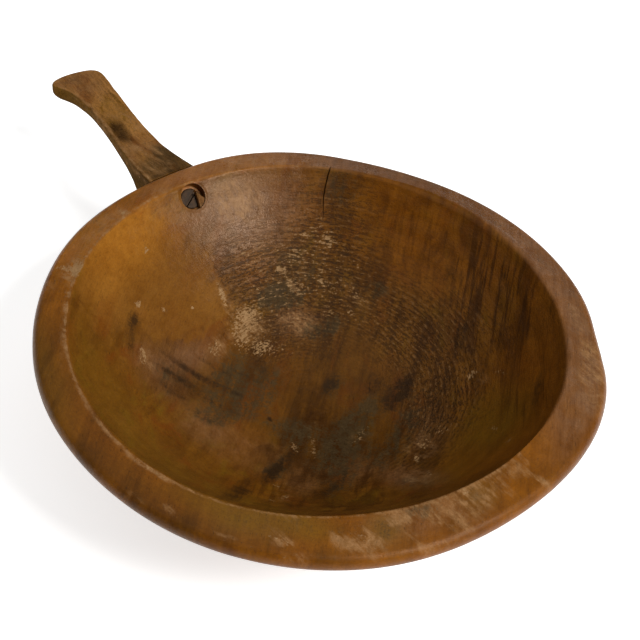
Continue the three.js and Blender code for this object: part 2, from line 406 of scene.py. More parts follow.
# Small dents: (x, y, radius, depth). Those near the rim are worn spots in its edges.
DENTS = [(88, 86, 9, 0.6), (104, -62, 7, 0.4), (-118, 57, 12, 0.35), (-96, 98, 10, 0.35), (-40, 124, 9, 0.4),
         (54, 5, 11, 0.25), (68, 8.5, 5, 0.35), (-66, -24, 7, 0.25), (-46, -68, 5, 0.3), (30, -88, 12, 0.3),
         (-127, -30, 8, 0.35), (47, 70, 6, 0.3), (-71, -12, 4, 0.3), (20, 138, 7, 0.3), (-88, -104, 9, 0.4)]


def make_bowl():
    angle = bowl_columns()
    radius, height = bowl_rings(angle)
    rings = np.stack([radius * np.cos(angle), radius * np.sin(angle), height], axis=2)
    flat = rings.reshape(-1, 3)
    r = radius.reshape(-1)
    # Which way the surface faces, to move it in and out.
    along_ring = np.roll(rings, -1, axis=1) - np.roll(rings, 1, axis=1)
    down_ring = np.gradient(rings, axis=0)
    normal = np.cross(along_ring, down_ring).reshape(-1, 3)
    normal /= np.linalg.norm(normal, axis=1)[:, None] + 1e-9
    above_foot = smoothstep(flat[:, 2], 1, 8)
    hand = 0.24 * cloud(flat, 38, 1) + 0.1 * cloud(flat, 14, 2)
    inner = (np.abs(flat[:, 2] - hollow_height(r)) < 2) & (r < RIM_INNER_RADIUS - 2)
    turning = 0.07 * np.sin(2 * pi * (r + 2 * cloud(flat, 60, 3)) / 7.5) * inner
    move = (hand - 0.12) * above_foot + turning
    upper = flat[:, 2] > np.where(r < RIM_INNER_RADIUS, hollow_height(r) - 3, RIM_HEIGHT - RIM_EDGE_DROP)
    for x, y, size, depth in DENTS:
        near = np.exp(-((flat[:, 0] - x) ** 2 + (flat[:, 1] - y) ** 2) / (size * 0.6) ** 2)
        move -= depth * near * upper
    # The counterbore's mouth is worn round.
    local = (np.linalg.inv(np.array(in_counterbore)) @ np.c_[flat, np.ones(len(flat))].T).T
    from_hole = np.hypot(local[:, 0], local[:, 1]) - COUNTERBORE_RADIUS
    move -= 0.45 * np.exp(-(from_hole / 0.9) ** 2) * (np.abs(local[:, 2]) < 6)
    # The outermost part stays inside the CAD model's outline.
    move = np.where(r > 126, np.minimum(move, -0.12), move)
    flat += normal * move[:, None]
    piece = solid("bowl_turned", flat.reshape(rings.shape))
    outwards(piece)
    cut(piece, screw_hole("hole_cutter"), crack_cutter())
    finish_shape(piece, 50)
    return piece


# ---- the handle ----

def smooth_line(points):
    """A smooth curve through points of (along, value), as a function of the distance along."""
    p = np.array([points[0]] + list(points) + [points[-1]], dtype=float)
    samples = []
    for k in range(1, len(p) - 2):
        for t in np.linspace(0, 1, 12, endpoint=False):
            samples.append(0.5 * (2 * p[k] + (p[k + 1] - p[k - 1]) * t
                                  + (2 * p[k - 1] - 5 * p[k] + 4 * p[k + 1] - p[k + 2]) * t ** 2
                                  + (3 * p[k] - p[k - 1] - 3 * p[k + 1] + p[k + 2]) * t ** 3))
    samples = np.array(samples + [p[-1]])
    return lambda along: np.interp(along, samples[:, 0], samples[:, 1])


def handle_section(left, right, top, bottom):
    """The handle's section, with softly broken top corners and well rounded bottom ones."""
    half = min(left - right, (top - bottom) * 1.2) / 2
    upper = min(HANDLE_TOP_ROUNDING, half * 0.9)
    lower = min(HANDLE_UNDER_ROUNDING, half * 0.9)
    corners = [(right, bottom, lower, 180), (left, bottom, lower, 270),
               (left, top, upper, 0), (right, top, upper, 90)]
    points = []
    for (y, z, r, first), count in zip(corners, (8, 8, 6, 6)):
        cy = y + r if y == right else y - r
        cz = z + r if z == bottom else z - r
        for t in np.linspace(0, 1, count):
            a = radians(first + 90 * t)
            points.append((cy + r * cos(a), cz + r * sin(a)))
    # The last point of each corner starts a flat side, which is divided too, so that the faces are even.
    side_steps = {7: 12, 15: 7, 21: 24, 27: 7}
    full = []
    for k, point in enumerate(points):
        full.append(point)
        after = points[(k + 1) % len(points)]
        steps = side_steps.get(k, 1)
        for s in range(1, steps):
            full.append(tuple(p + (q - p) * s / steps for p, q in zip(point, after)))
    return full


def outside_blank(grow):
    """The outside of the bowl as a plain solid, grown by a distance."""
    angle = np.linspace(-pi, pi, 240, endpoint=False)
    shift = outside_wave(angle)
    line = wall_line(np.linspace(0, 1, 60), grow)
    for a in np.linspace(EDGE_START, radians(78), 12)[1:]:
        line.append(EDGE_CENTRE + (RIM_EDGE_RADIUS + grow) * np.array([cos(a), sin(a)]))
    line.append(np.array([RIM_INNER_RADIUS, RIM_HEIGHT + 3]))
    rings = []
    for r, z in line:
        rings.append(ring_at(r + shift * smoothstep(r, FOOT_RADIUS + grow, RIM_OUTER_RADIUS - 10), angle, z))
    return solid("outside_cutter", rings)


def make_handle():
    outlines = (HANDLE_LEFT, HANDLE_RIGHT, HANDLE_TOP, HANDLE_UNDERSIDE)
    left, right, top, under = [smooth_line(line) for line in outlines]
    inner, outer = HANDLE_LEFT[0][0], HANDLE_LEFT[-1][0]
    tip_share = 0.07
    even = np.linspace(0, 1 - tip_share, 130, endpoint=False)
    closing = 1 - tip_share + tip_share * np.sin(np.linspace(0, pi / 2, 28))
    shares = np.concatenate([even, closing])
    rings = []
    for share in shares[:-1]:
        along = inner + (outer - inner) * share
        section = handle_section(left(along), right(along), top(along), under(along))
        rings.append([(along, y, z) for y, z in section])
    rings = np.array(rings)
    flat = rings.reshape(-1, 3)
    centre = rings.mean(axis=1, keepdims=True)
    out = (rings - centre).reshape(-1, 3)
    out[:, 0] = 0
    out /= np.linalg.norm(out, axis=1)[:, None]
    move = 0.12 * cloud(flat, 16, 4) + 0.06 * cloud(flat, 5, 5) - 0.08
    # A nick in the top's left edge, and worn places in the edges.
    for x, y, z, size, depth in [(218, 11, 62, 1.6, 0.9), (186, 13.4, 63, 4, 0.35), (206, 11.6, 62, 3, 0.3),
                                 (167, -7, 64, 5, 0.3), (232, -11.6, 61.5, 4, 0.35), (149, 16.5, 65, 3, 0.3)]:
        near = np.exp(-((flat[:, 0] - x) ** 2 + (flat[:, 1] - y) ** 2 + (flat[:, 2] - z) ** 2) / size ** 2)
        move -= depth * near
    flat += out * move[:, None]
    piece = solid("handle_carved", flat.reshape(rings.shape))
    outwards(piece)
    cut(piece, outside_blank(GAP), screw_hole("handle_hole_cutter"))
    finish_shape(piece, 40)
    return piece


# ---- the screw ----

def make_screw():
    angle = np.linspace(0, 2 * pi, SCREW_SIDES, endpoint=False)
    tip = HEAD_RECESS + SCREW_LENGTH
    thread_top = -tip + THREAD_LENGTH
    rings = []
    for z in np.arange(-tip + 0.15, thread_top + 0.8, THREAD_PITCH / 12):
        turn = (z / THREAD_PITCH - angle / (2 * pi)) % 1
        ridge = np.clip(1 - np.abs(turn - 0.5) / 0.38, 0, 1)
        taper = min(1, (z + tip) / (2.6 * THREAD_PITCH) + 0.05)
        fade = min(1, max(0, (thread_top + 0.8 - z) / THREAD_PITCH))
        core = THREAD_CORE_RADIUS + (SHANK_RADIUS - THREAD_CORE_RADIUS) * (1 - fade)
        r = taper * (core + (SHANK_RADIUS - core) * ridge)
        rings.append(ring_at(r, angle, z))
    neck = -HEAD_RECESS - HEAD_EDGE - HEAD_CONE
    profile = [(SHANK_RADIUS, thread_top + 1.2), (SHANK_RADIUS, neck - 1.5), (SHANK_RADIUS, neck - GAP)]
    for t in np.linspace(0.15, 1, 6):
        profile.append((SHANK_RADIUS + (HEAD_RADIUS - SHANK_RADIUS) * t, neck - GAP + (HEAD_CONE + GAP) * t))
    top = -HEAD_RECESS
    profile += [(HEAD_RADIUS, top - 0.2), (HEAD_RADIUS - 0.06, top - 0.08), (HEAD_RADIUS - 0.22, top - 0.01)]
    profile += [(r, top) for r in (4.4, 3.4, 2.4, 1.4, 0.5)]
    rings += [ring_at(r, angle, z) for r, z in profile]
    piece = solid("screw_slotted", rings)
    outwards(piece)
    half_long, half_wide = HEAD_RADIUS + 1, SLOT_WIDTH / 2
    a = radians(SLOT_ANGLE)
    slot = []
    bottom = top - SLOT_DEPTH
    for z, wide in ((bottom, 0.86), (bottom + 0.25, 1), (top - 0.25, 1), (top + 0.3, 1.7)):
        corners = [(-half_long, -half_wide * wide), (half_long, -half_wide * wide),
                   (half_long, half_wide * wide), (-half_long, half_wide * wide)]
        slot.append([(x * cos(a) - y * sin(a), x * sin(a) + y * cos(a), z) for x, y in corners])
    cut(piece, solid("slot_cutter", slot))
    seat_on_screw(piece)
    finish_shape(piece, 35)
    return piece


# ---- the piece of plug left in the counterbore ----

def make_plug():
    fine, across = 26, 34
    corner = np.array(PLUG_CORNER)
    arc_angle = np.radians(np.linspace(PLUG_FIRST_ANGLE, PLUG_LAST_ANGLE, across))
    arc = PLUG_RADIUS * np.stack([np.cos(arc_angle), np.sin(arc_angle)], axis=1)
    bottom = -HEAD_RECESS + GAP

    def layer(z, inset, rough, seed):
        """One loop round the piece's outline, pulled in by a distance. The two broken edges are ragged."""
        steps = np.linspace(0, 1, fine, endpoint=False)[:, None]
        loop = np.vstack([corner + (arc[0] - corner) * steps, arc[:-1], arc[-1] + (corner - arc[-1]) * steps])
        middle = loop.mean(axis=0)
        reach = loop - middle
        size = np.hypot(reach[:, 0], reach[:, 1])
        broken = np.ones(len(loop))
        broken[fine:fine + across - 1] = 0
        jag = np.array([noise.noise(Vector((x * 1.4, y * 1.4, z * 0.35 + seed))) for x, y in loop])
        pull = inset + rough * broken * (0.35 + 0.65 * jag)
        loop = middle + reach * ((size - pull) / size)[:, None]
        return np.c_[loop, np.full(len(loop), z)]

    top = -PLUG_TOP
    rings = [layer(bottom, 1.6, 0, 0), layer(bottom, 0.15, 0.3, 0), layer(bottom + 0.15, 0, 0.3, 0)]
    for z in np.linspace(bottom + 0.4, top - 0.2, 8):
        rings.append(layer(z, 0, 0.32, 0.5))
    rings.append(layer(top, 0.12, 0.35, 1))
    for inset in (0.5, 1.0, 1.6, 2.2):
        rings.append(layer(top, inset, 0.25, 1))
    rings = np.array(rings)
    upper = rings[11:]
    split = np.array([noise.noise(Vector((x * 0.35, y * 1.8, 3))) for x, y, z in upper.reshape(-1, 3)])
    upper[:, :, 2] += (0.5 * np.clip(split, -1, 0) - 0.05).reshape(upper.shape[:2])
    piece = solid("plug_broken", rings)
    seat_on_screw(piece)
    outwards(piece)
    finish_shape(piece, 45)
    return piece


# ---- materials ----

class Paint:
    """Builds a material's nodes. Every value may be a number, a colour or another node's output."""

    def __init__(self, name):
        self.material = bpy.data.materials.new(name)
        self.material.use_nodes = True
        self.tree = self.material.node_tree
        self.shader = self.tree.nodes["Principled BSDF"]
        self.colour = None

    def node(self, kind, inputs=(), output=0, **settings):
        made = self.tree.nodes.new(kind)
        for key, value in settings.items():
            setattr(made, key, value)
        for key, value in dict(inputs).items():
            self.put(value, made.inputs[key])
        return made.outputs[output]

    def put(self, value, socket):
        if isinstance(value, bpy.types.NodeSocket):
            self.tree.links.new(value, socket)
        elif socket.type == "RGBA" and len(value) == 3:
            socket.default_value = (*value, 1)
        else:
            socket.default_value = value

    def math(self, operation, *values, clamp=False):
        return self.node("ShaderNodeMath", enumerate(values), operation=operation, use_clamp=clamp)

    def add(self, *values):
        total = values[0]
        for value in values[1:]:
            total = self.math("ADD", total, value)
        return total

    def times(self, *values):
        total = values[0]
        for value in values[1:]:
            total = self.math("MULTIPLY", total, value)
        return total

    def blend(self, *terms):
        """The sum of the terms. A term is a value, or a pair of a value and its weight."""
        return self.add(*[self.times(*term) if isinstance(term, tuple) else term for term in terms])

    def soft(self, value, low, high, to_low=0.0, to_high=1.0):
        """From to_low to to_high as the value goes from low to high, eased at both ends."""
        inputs = {0: value, 1: low, 2: high, 3: to_low, 4: to_high}
        return self.node("ShaderNodeMapRange", inputs, interpolation_type="SMOOTHSTEP")

    def mix(self, share, a, b, blend="MIX"):
        settings = {"data_type": "RGBA", "blend_type": blend, "clamp_factor": True}
        return self.node("ShaderNodeMix", {0: share, 6: a, 7: b}, output=2, **settings)

    def cover(self, share, over):
        """Lays another colour over the colour so far."""
        self.colour = self.mix(share, self.colour, over)

    def mask(self, name):
        return self.node("ShaderNodeAttribute", output=2, attribute_name=name)

    def share(self, name, amount):
        """The mask times an amount, kept between 0 and 1."""
        return self.math("MULTIPLY", self.mask(name), amount, clamp=True)

    def noise(self, vector, scale, detail=3.0, rough=0.55, distort=0.0):
        return self.node("ShaderNodeTexNoise", {"Vector": vector, "Scale": scale, "Detail": detail,
                                                "Roughness": rough, "Distortion": distort})

    def millimetres(self):
        place = self.node("ShaderNodeTexCoord", output=3)
        return self.node("ShaderNodeVectorMath", {0: place, 3: 1 / MM}, operation="SCALE")

    def stretched(self, vector, turn, scale):
        """The vector turned about Z, in degrees, then scaled along each axis."""
        inputs = {"Vector": vector, "Angle": radians(turn)}
        turned = self.node("ShaderNodeVectorRotate", inputs, rotation_type="Z_AXIS")
        return self.node("ShaderNodeVectorMath", {0: turned, 1: scale}, operation="MULTIPLY")

    def parts(self, vector):
        made = self.tree.nodes.new("ShaderNodeSeparateXYZ")
        self.put(vector, made.inputs[0])
        return made.outputs

    def joined(self, x, y, z):
        return self.node("ShaderNodeCombineXYZ", {0: x, 1: y, 2: z})

    def finish(self, colour, roughness, height, metallic=0.0, specular=0.5):
        """Height is in mm."""
        self.put(colour, self.shader.inputs["Base Color"])
        self.put(roughness, self.shader.inputs["Roughness"])
        self.shader.inputs["Metallic"].default_value = metallic
        self.shader.inputs["Specular IOR Level"].default_value = specular
        bump = self.node("ShaderNodeBump", {"Strength": 1.0, "Distance": MM, "Height": height})
        self.put(bump, self.shader.inputs["Normal"])
        return self.material


# Colours of the wood, as linear light. Pairs are the darker and the lighter side of a colour.
BOWL_CLEAN = ((0.082, 0.024, 0.0008), (0.215, 0.082, 0.006))
HANDLE_CLEAN = ((0.29, 0.116, 0.019), (0.59, 0.295, 0.092))
WARM = ((0.138, 0.036, 0.0009), (0.27, 0.089, 0.0042))
CLEAN_PATCH = ((0.148, 0.05, 0.005), (0.252, 0.101, 0.014))
DEEP = (0.038, 0.011, 0.0005)
REDDISH = (0.16, 0.038, 0.0022)
OCHRE = (0.165, 0.08, 0.004)
DULL_RED = (0.105, 0.03, 0.0016)
DULL = ((0.03, 0.0095, 0.0004), (0.116, 0.042, 0.0032))
# Pinkish worn wood, also used for painted sheen on the rim and a painted highlight on the far wall.
ROSE = ((0.105, 0.038, 0.011), (0.265, 0.128, 0.056))
# Rubbed, pale wood, also used for painted highlights along lit edges and on the far wall.
PALE = ((0.19, 0.086, 0.024), (0.41, 0.215, 0.086))
# Near-black stain, also used for painted shade on the rim's outer edge on the side away from the light.
SOOT = ((0.006, 0.0028, 0.0008), (0.024, 0.0095, 0.0022))
SLATE = ((0.02, 0.0125, 0.004), (0.068, 0.044, 0.017))
# Bare wood, also used for pale flecks painted as highlight along lit edges.
BARE = ((0.23, 0.12, 0.044), (0.48, 0.29, 0.13))
# What the colour is multiplied by where light is painted: places made lighter because they face away from the
# light.
FAIR = (1.95, 1.95, 1.7)
STEEL = (0.05, 0.026, 0.011)
DARK_STEEL = (0.02, 0.012, 0.006)
RUST = (0.1, 0.042, 0.016)
GLOSS_TINT = (1.0, 0.76, 0.56)

# Lines left by the turning tool are this many mm apart. Scuffs run this way, in degrees.
TOOL_LINE_SPACING = 2.6
SCUFF_DIRECTION = -13


def wood(name, clean, grain_turn, turned_marks, gloss, ragged, flecks):
    """Old oiled wood. Masks on the mesh say where it is stained, worn, dry or dull, and where light, shade,
    sheen and highlights are painted.
    """
    p = Paint(name)
    soft, times, blend, mix, mask, cover = p.soft, p.times, p.blend, p.mix, p.mask, p.cover
    place = p.millimetres()

    def spread(value, low=0.33, high=0.67):
        return soft(value, low, high)

    def along_grain(turn, scale, detail, rough, distort=0.0):
        return p.noise(p.stretched(place, grain_turn + turn, scale), 1.0, detail, rough, distort)

    fibre = spread(p.noise(p.stretched(place, grain_turn, (0.03, 1.0, 1.0)), 1.1, 5, 0.6))
    figure = spread(along_grain(8, (0.011, 0.085, 0.05), 4, 0.6, 0.7), 0.34, 0.66)
    streak = spread(along_grain(4, (0.03, 0.34, 0.1), 4, 0.6))
    thread = along_grain(5, (0.018, 0.38, 0.05), 3, 0.6)
    mottle = spread(p.noise(place, 0.03, 4, 0.6))
    blotch = spread(p.noise(place, 0.075, 5, 0.7, 0.4))
    patchy = spread(p.noise(place, 0.19, 5, 0.7))
    grit = spread(p.noise(place, 0.75, 4, 0.65))
    speck = spread(p.noise(place, 2.4, 2, 0.6))
    hue = along_grain(8, (0.022, 0.06, 0.06), 4, 0.65, 0.8)
    scuff = spread(p.noise(p.stretched(place, SCUFF_DIRECTION, (0.07, 0.36, 0.2)), 1.0, 4, 0.65))
    rag = blend((blotch, 0.25), (patchy, 0.3), (streak, 0.25), (grit, 0.2), -0.5)

    # A patch that kept its finish, with a ragged edge.
    kept = soft(blend(mask("clean"), (rag, 0.5)), 0.4, 0.62)
    lost = blend(1.0, (kept, -1.0))

    # The clean wood, redder in some places and more yellow in others.
    tone = blend((figure, 0.26), (fibre, 0.12), (mottle, 0.2), (blotch, 0.22), (patchy, 0.12), (streak, 0.08))
    p.colour = mix(tone, *clean)
    cover(soft(hue, 0.53, 0.68, 0.0, 0.7), REDDISH)
    cover(soft(hue, 0.47, 0.32, 0.0, 0.65), OCHRE)
    warm = p.share("warm", soft(blotch, 0.0, 1.0, 0.75, 1.1))
    cover(warm, mix(tone, *WARM))
    dull = times(p.share("dull", soft(figure, 0.0, 1.0, 1.2, 0.7)), lost)
    dull_tone = blend((streak, 0.3), (blotch, 0.35), (patchy, 0.2), (grit, 0.15))
    cover(dull, mix(dull_tone, *DULL))
    cover(times(soft(hue, 0.53, 0.68, 0.0, 0.5), dull), DULL_RED)
    # Pinkish worn wood, with painted sheen on the rim and a painted highlight on the far wall, where the mask
    # says.
    rose = times(p.share("rose", soft(blotch, 0.0, 1.0, 0.55, 1.1)), lost)
    rose_tone = blend((fibre, 0.2), (streak, 0.35), (patchy, 0.25), (grit, 0.2))
    cover(rose, mix(rose_tone, *ROSE))
    deep = times(soft(figure, 0.45, 0.0), mask("figure"), lost)
    cover(times(deep, 0.7), DEEP)
    patch = mix(blend((mottle, 0.5), (fibre, 0.2), (patchy, 0.3)), *CLEAN_PATCH)
    cover(blend((kept, 0.45), (mask("clean"), 0.4)), patch)
    cover(times(mask("ochre"), soft(blotch, 0.0, 1.0, 0.6, 0.9)), OCHRE)
    # Painted light: the colour is multiplied lighter where the surface faces away from the light.
    cover(mask("fair"), mix(1.0, p.colour, FAIR, "MULTIPLY"))

    # Dark threads in the wood, along the grain.
    threads = times(soft(thread, 0.52, 0.38), mask("threads"))
    cover(times(threads, 0.85), DEEP)

    # Lines left by the turning tool, which follow the bowl round, or fine scratches on a carved piece.
    if turned_marks:
        x, y = p.parts(place)[:2]
        radius = p.math("SQRT", p.add(times(x, x), times(y, y)))
        wide = p.math("MAXIMUM", radius, 1.0)
        cx, cy = p.math("DIVIDE", x, wide), p.math("DIVIDE", y, wide)

        def round_bowl(turns, per_mm):
            """A place to sample noise that is drawn out round the bowl."""
            return p.joined(times(cx, turns), times(cy, turns), times(radius, per_mm))

        sway = p.noise(round_bowl(2.2, 0.03), 1.0, 2)
        phase = times(blend(radius, (sway, 5.0), (patchy, 0.3)), 2 * pi / TOOL_LINE_SPACING)
        ridge = blend((p.math("SINE", phase), 0.5), 0.5)
        broken = spread(p.noise(round_bowl(10.0, 0.4), 1.0, 4, 0.65))
        fine = spread(p.noise(round_bowl(24.0, 1.15), 1.0, 4, 0.65))
    else:
        ridge = spread(p.noise(p.stretched(place, grain_turn, (0.05, 0.8, 0.8)), 1.0, 2))
        broken = patchy
        fine = spread(along_grain(8, (0.3, 0.9, 0.9), 4, 0.65))
    marks = times(mask("marks"), blend(1.0, (kept, -0.8)))
    groove = times(soft(ridge, 0.66, 0.16), soft(broken, 0.25, 0.8), soft(grit, 0.05, 0.6))
    groove = times(p.math("MAXIMUM", groove, soft(fine, 0.38, 0.12)), marks)
    cover(times(groove, 0.8), SOOT[1])
    crest = times(soft(ridge, 0.45, 0.95), soft(fine, 0.45, 0.8), soft(grit, 0.25, 0.75),
                  soft(marks, 0.3, 0.9))

    # Stains soaked into the wood, with ragged edges. The near-black stain also carries painted shade on the
    # bowl's outer edge.
    slate = times(soft(times(mask("slate"), blend(1.0, (rag, ragged))), 0.2, 0.85), lost)
    slate_tone = blend((grit, 0.3), (fine, 0.35), (patchy, 0.35))
    cover(times(slate, 0.8), mix(slate_tone, *SLATE))
    soot = soft(times(mask("soot"), blend(1.0, (rag, ragged * 0.75))), 0.1, 0.85)
    cover(times(soot, 0.85), mix(blend((streak, 0.6), (grit, 0.4)), *SOOT))

    cover(times(crest, 0.55), BARE[0])

    # Rubbed, pale wood with soft edges, and painted highlights along lit edges and on the far wall.
    worn = blend((scuff, 0.5), (blotch, 0.25), (patchy, 0.17), (grit, 0.08), -0.5)
    rub = soft(times(mask("pale"), blend(1.0, (worn, 2.4))), 0.12, 1.0)
    cover(times(rub, 0.76), mix(blend((patchy, 0.5), (grit, 0.5)), *PALE))

    # Bare wood where the finish has flaked away, mostly on the ridges between the tool's lines, and pale
    # flecks painted as highlight along lit edges.
    flake = blend(mask("bare"), (fine, 0.6), (grit, 0.35), (groove, -0.25), -0.475)
    bare = soft(flake, 0.42, 0.62)
    cover(times(bare, 0.85), mix(blend((speck, 0.5), (patchy, 0.5)), *BARE))
    dots = soft(blend((speck, 0.5), (grit, 0.5)), 0.35, 1.0, 0.0, flecks)
    cover(dots, SOOT[1])

    pores = soft(p.noise(p.stretched(place, grain_turn, (0.16, 2.2, 2.2)), 1.0, 2), 0.36, 0.27)
    cover(times(pores, 0.5), SOOT[0])

    roughness = blend(0.27, (mottle, 0.06), (groove, 0.10), (bare, 0.2), (soot, 0.05), (slate, 0.08),
                      (dull, 0.03), (grit, 0.06), (rub, 0.08), (rose, -0.05), (mask("dry"), 0.35))
    height = blend((fibre, 0.03), (grit, 0.03), (groove, -0.11), (bare, -0.05), (pores, -0.05),
                   (patchy, 0.06))
    p.put(GLOSS_TINT, p.shader.inputs["Specular Tint"])
    return p.finish(p.colour, roughness, height, specular=gloss)


def old_steel():
    """A dark, dirty screw, mottled, with flecks of rust."""
    p = Paint("screw_steel")
    place = p.millimetres()
    cloudy = p.noise(place, 0.55, 4, 0.6)
    grit = p.noise(place, 3.0, 3, 0.6)
    brushed = p.noise(p.stretched(place, 20, (0.4, 4.0, 4.0)), 1.0, 3, 0.6)
    colour = p.mix(p.soft(cloudy, 0.35, 0.65), DARK_STEEL, STEEL)
    colour = p.mix(p.times(p.soft(grit, 0.55, 0.7), 0.6), colour, RUST)
    roughness = p.blend(0.42, (cloudy, 0.2), (grit, 0.12))
    height = p.blend((grit, 0.04), (brushed, 0.02))
    return p.finish(colour, roughness, height, metallic=0.65, specular=0.4)


FLOOR_GLOW = 0.7


def plain_floor():
    p = Paint("floor")
    place = p.millimetres()
    tint = p.noise(place, 0.004, 2)
    colour = p.mix(tint, (0.86, 0.86, 0.85), (0.9, 0.9, 0.895))
    p.shader.inputs["Emission Color"].default_value = (1, 1, 1, 1)
    p.shader.inputs["Emission Strength"].default_value = FLOOR_GLOW
    return p.finish(colour, 0.8, p.times(tint, 0.01), specular=0.1)


# ---- where the bowl is stained, worn and dull, and where light, shade, sheen and highlights are painted ----

# A spot is (x, y, half length, half width, direction in degrees, strength in per cent).
SLATE_SPOTS = [
    (14, 42, 16, 11, -50, 60), (30, 28, 17, 11, -45, 68), (18, 14, 14, 9, -50, 62), (8, 56, 10, 7, 60, 45),
    (33, 58, 15, 9, 40, 40), (28, 70, 12, 5, -30, 30), (-42, 12, 26, 13, -50, 75),
    (-56, -6, 16, 8, -50, 60), (-38, 46, 12, 7, -50, 60), (-28, -12, 20, 8, -60, 70),
    (-20, 22, 14, 7, -50, 50), (-48, -24, 14, 6, -50, 50), (62, -16, 8, 7, 60, 85), (58, -28, 6, 6, 60, 70),
    (35, -29, 9, 6, 58, 80), (33, -40, 5, 8, 0, 55), (33, -68, 8, 5, 20, 60), (66, -36, 26, 15, 60, 42),
    (-40, -40, 30, 16, -30, 30), (86, -76, 10, 7, 50, 50), (-66, 30, 18, 6, -52, 50),
    (-88, 5, 9, 6, 10, 50), (0, -16, 10, 6, -58, 50), (6, 30, 10, 8, 0, 40), (-14, 20, 16, 9, 58, 50),
]
SOOT_SPOTS = [
    (2, -16, 9, 4.5, -58, 55), (-25, -41, 10, 4, -62, 90), (-24, -38, 15, 7, -62, 50),
    (-11, -34, 8, 5, -50, 55), (-21, -81, 10, 4, -50, 60), (13, -98, 5, 4, -40, 40),
    (-3, 26, 1.7, 1.2, 0, 100), (-50, 74, 24, 5, -55, 40), (-60, 86, 20, 5, -50, 35),
    (66, 65, 6, 3, -35, 60), (58, 72, 12, 2.5, -28, 45), (34, 58, 12, 2.6, 40, 60),
    (42, 52, 12, 2.4, 40, 50), (27, 66, 9, 3, 35, 50), (33, -31, 5, 8, -10, 40), (86, -79, 6, 4, 50, 30),
    (-42, 52, 12, 3.5, -55, 55), (-34, 38, 12, 4, -60, 50), (-86, -70, 16, 2.2, -52, 45),
    (-20, -106, 22, 2.2, -44, 40), (-76, -62, 10, 3, -50, 30), (30, 10, 10, 4, -10, 40),
    (-68, 40, 14, 3.5, -65, 50), (-60, 22, 12, 3, -50, 40), (-30, 25, 12, 5, -50, 30),
    (-48, -30, 16, 4, -50, 40), (-4, 12, 14, 5, -20, 30), (-70, -42, 8, 4, -50, 35),
    (10, 60, 12, 3, 30, 35), (-26, 5, 12, 4, -60, 30), (30, 44, 12, 1.8, 38, 50), (22, 35, 14, 1.8, 38, 50),
    (37, 34, 12, 1.6, 38, 42), (14, 46, 12, 1.8, 38, 42), (26, 20, 10, 1.6, 38, 40),
    (82, 10, 5, 2, -60, 40), (80, -3, 8, 5, 80, 25), (60, 78, 8, 2, -35, 30),
]
BARE_SPOTS = [
    (55, 4, 8, 8, -70, 38), (57, 0, 4, 7, 30, 50), (48, 12, 7, 4, -20, 38), (73, 8, 6, 1.5, -8, 75),
    (44, -23, 7, 4, 58, 18), (45, -5, 14, 16, 0, 14), (68, -38, 15, 26, 30, 25), (70, -60, 8, 4, 10, 24),
    (50, -54, 15, 13, 30, 20), (62, -32, 5, 3, 20, 32), (85, -20, 14, 7, 65, 17), (76, -12, 9, 12, 60, 20),
    (48, 28, 7, 3, -35, 38), (47, 71, 6, 1.8, -18, 55), (75, 58, 2.6, 1.8, -50, 70),
    (72, 45, 1.5, 1, 0, 70), (71, 28, 1.3, 1, 0, 70), (99, 40, 2, 1.4, -60, 70),
    (-72, -12, 3, 1.8, -30, 60), (-64, -23, 6, 3, -40, 42), (-62, -34, 7, 3, 20, 26),
    (-45, -69, 4, 1.7, -62, 65), (-57, -76, 4, 1.1, 10, 55), (-37, -6, 7, 2, -68, 34),
    (-30, 18, 9, 1.4, -32, 38), (-64, 60, 2.6, 1.8, -30, 50), (-52, 56, 2.6, 1.6, -20, 45),
    (-26, 27, 4, 2, -20, 42), (-101, -39, 3, 1, -60, 55), (-86, -46, 2.6, 1.6, -30, 40),
    (-84, 5, 5, 2, -40, 30), (-86, -6, 5, 1.6, -30, 30), (71, -59, 2.6, 1.6, 0, 40),
    (32, -50, 6, 1.6, 0, 36), (38, -58, 5, 1.6, 10, 36), (-10, -55, 4, 1.2, 60, 30),
    (40, -40, 4, 3, 10, 30), (40, 3, 9, 4, 58, 34), (62, 2, 5, 5, 0, 30), (66, -12, 3, 2, 40, 36),
    (76, -40, 3, 2, 50, 36), (54, -47, 4, 1.4, 20, 38), (40, 4, 3, 6, 10, 30), (80, -50, 4, 2, 50, 30),
    (72, -30, 3, 1.6, 60, 34), (52, -66, 4, 1.4, 10, 30), (-66, 68, 2, 1.2, 0, 45),
]
# Rubbed places. The spot at (108, -22) is a painted highlight on the far wall.
PALE_SPOTS = [
    (54, 3, 10, 10, -70, 70), (44, -23, 10, 6, 58, 80), (48, 24, 10, 6, -40, 50), (-30, 18, 22, 6, -35, 25),
    (-37, -6, 14, 5, -68, 30), (-66, -20, 12, 9, -30, 50), (-87, 0, 10, 6, 0, 60), (72, 8, 8, 3, -10, 50),
    (45, 70, 10, 4, -18, 45), (0, 66, 14, 8, 0, 25), (106, 40, 20, 7, -65, 25), (62, -32, 6, 4, 20, 50),
    (-60, 58, 14, 5, -40, 35), (108, -22, 15, 8, 80, 90), (20, -50, 20, 8, 10, 20),
    (40, -56, 12, 6, 10, 30), (-52, -70, 10, 3, -10, 30), (-24, 66, 10, 8, 0, 25),
]
